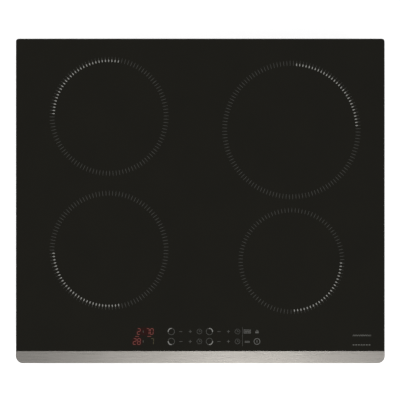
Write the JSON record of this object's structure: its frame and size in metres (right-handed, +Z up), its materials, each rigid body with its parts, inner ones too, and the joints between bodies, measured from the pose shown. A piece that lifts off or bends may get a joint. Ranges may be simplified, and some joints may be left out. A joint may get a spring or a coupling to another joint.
{
  "type": "induction hob",
  "caption": "Built-in induction hob with a black glass top, a brushed metal front trim, dashed zone rings, touch controls and a flat sheet-steel casing.",
  "frame": {"origin": "centre of the hob in the plane of the worktop: the underside of the foam seal", "axes": "+X to the right, +Y to the rear, +Z up, seen from the front where the controls are"},
  "size_m": [0.583, 0.513, 0.0569],
  "materials": {
    "black_glass": "polished black glass ceramic",
    "trim_steel": "brushed lengthwise",
    "dark_plastic": "fine matt texture",
    "seal_foam": "closed-cell foam",
    "adhesive": "cured silicone",
    "galvanised_sheet": "galvanised, fine spangle",
    "zinc_steel": "zinc plated",
    "spring_steel": "tempered",
    "aluminium_sheet": "mill finish",
    "copper": "lacquered stranded copper",
    "former_plastic": "glass-filled moulding",
    "ferrite": "sintered, matt",
    "mica": "pressed mica",
    "sensor_ceramic": "unglazed",
    "coil_wire": "silicone sleeve",
    "thin_wire": "insulated",
    "mains_wire": "insulated",
    "carrier_plastic": "moulded",
    "board_green": "solder mask",
    "display_black": "gloss",
    "pad_rubber": "conductive foam",
    "ribbon_grey": "flat cable",
    "component_dark": "moulded cases",
    "filter_blue": "moulded cases",
    "post_nylon": "nylon",
    "fan_plastic": "moulded",
    "motor_steel": "lacquered",
    "bay_plastic": "flame-retardant moulding",
    "block_plastic": "moulded",
    "terminal_brass": "turned"
  },
  "bodies": {
    "hob": {"glass_top": "black_glass", "front_trim": "trim_steel", "trim_carrier": "dark_plastic", "worktop_seal": "seal_foam", "glass_brackets": "galvanised_sheet", "glass_adhesive": "adhesive", "casing": "galvanised_sheet", "rim_screws": "zinc_steel", "retaining_springs": "spring_steel", "coil_plate_left": "aluminium_sheet", "coil_plate_right": "aluminium_sheet", "plate_pillars": "aluminium_sheet", "plate_screws": "zinc_steel", "temperature_sensors": "sensor_ceramic", "coil_springs": "spring_steel", "coil_leads": "coil_wire", "thin_leads": "thin_wire", "mains_leads": "mains_wire", "control_carrier": "carrier_plastic", "control_board": "board_green", "display_modules": "display_black", "touch_pads": "pad_rubber", "ribbon_cable": "ribbon_grey", "board_posts": "post_nylon", "filter_board": "board_green", "filter_components": "filter_blue", "terminal_box": "bay_plastic", "terminal_block": "block_plastic", "terminal_screws": "terminal_brass", "cable_gland": "dark_plastic", "winding_rear_left": "copper", "former_rear_left": "former_plastic", "ferrites_rear_left": "ferrite", "insulation_rear_left": "mica", "winding_rear_right": "copper", "former_rear_right": "former_plastic", "ferrites_rear_right": "ferrite", "insulation_rear_right": "mica", "winding_front_left": "copper", "former_front_left": "former_plastic", "ferrites_front_left": "ferrite", "insulation_front_left": "mica", "winding_front_right": "copper", "former_front_right": "former_plastic", "ferrites_front_right": "ferrite", "insulation_front_right": "mica", "power_board_left": "board_green", "heatsink_left": "aluminium_sheet", "power_components_left": "component_dark", "fan_housing_left": "fan_plastic", "fan_motor_left": "motor_steel", "power_board_right": "board_green", "heatsink_right": "aluminium_sheet", "power_components_right": "component_dark", "fan_housing_right": "fan_plastic", "fan_motor_right": "motor_steel"},
    "blower_left": {"impeller_left": "fan_plastic"},
    "blower_right": {"impeller_right": "fan_plastic"},
    "cover": {"terminal_cover": "bay_plastic"}
  },
  "joints": [
    {"name": "blower_left_spin", "type": "hinge", "parent": "hob", "child": "blower_left", "pos_m": [-0.1, 0.15, -0.035], "axis": [0, 0, 1], "continuous": true},
    {"name": "blower_right_spin", "type": "hinge", "parent": "hob", "child": "blower_right", "pos_m": [0.1, 0.15, -0.035], "axis": [0, 0, 1], "continuous": true},
    {"name": "terminal_cover_hinge", "type": "hinge", "parent": "hob", "child": "cover", "pos_m": [0.223, 0.1735, -0.0485], "axis": [-1, 0, 0], "range_deg": [0, 100]}
  ]
}
